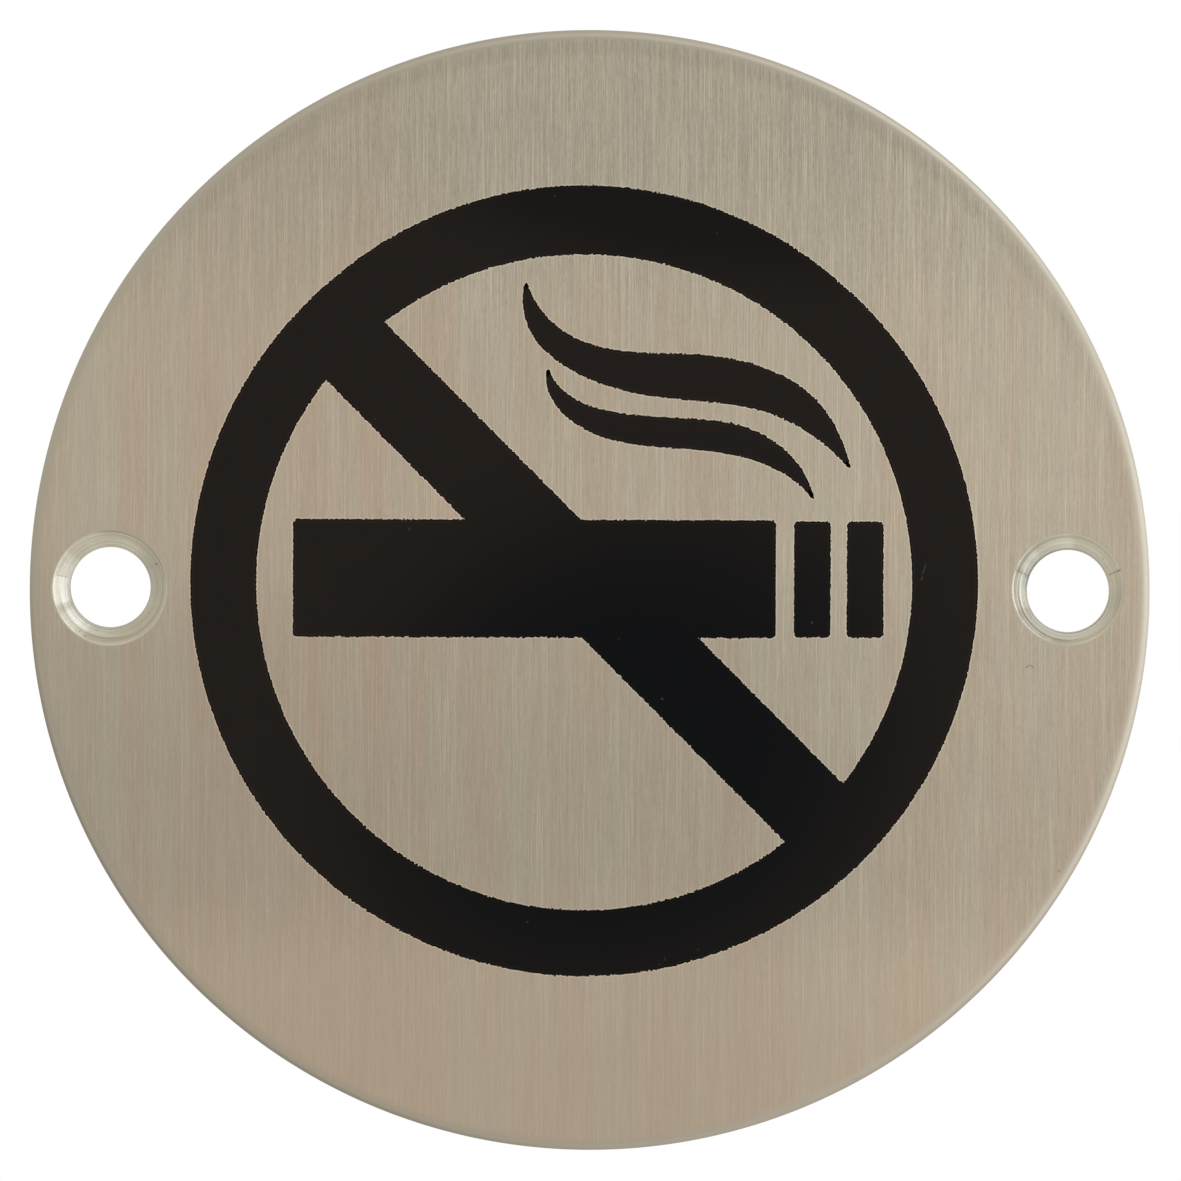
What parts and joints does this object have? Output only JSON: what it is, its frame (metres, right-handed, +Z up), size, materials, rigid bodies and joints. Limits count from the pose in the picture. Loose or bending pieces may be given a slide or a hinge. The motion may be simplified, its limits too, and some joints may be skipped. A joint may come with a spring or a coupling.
{
  "type": "no smoking sign",
  "caption": "Round brushed steel wall sign with a black enamelled no smoking symbol, a rolled front edge and countersunk screw holes on its middle line.",
  "frame": {"origin": "centre of the plate's back face, on the wall", "axes": "+Z up as the sign hangs, +X to the reader's right, +Y into the wall, so the face looks along -Y"},
  "size_m": [0.075, 0.0015, 0.075],
  "materials": {
    "brushed_steel": "satin, brushed from top to bottom",
    "black_enamel": "semi-gloss black enamel"
  },
  "bodies": {
    "root": {"sign_plate": "brushed_steel", "prohibition_fill": "black_enamel", "inner_ember_band_fill": "black_enamel", "outer_ember_band_fill": "black_enamel", "upper_smoke_fill": "black_enamel", "lower_smoke_fill": "black_enamel"}
  },
  "joints": []
}
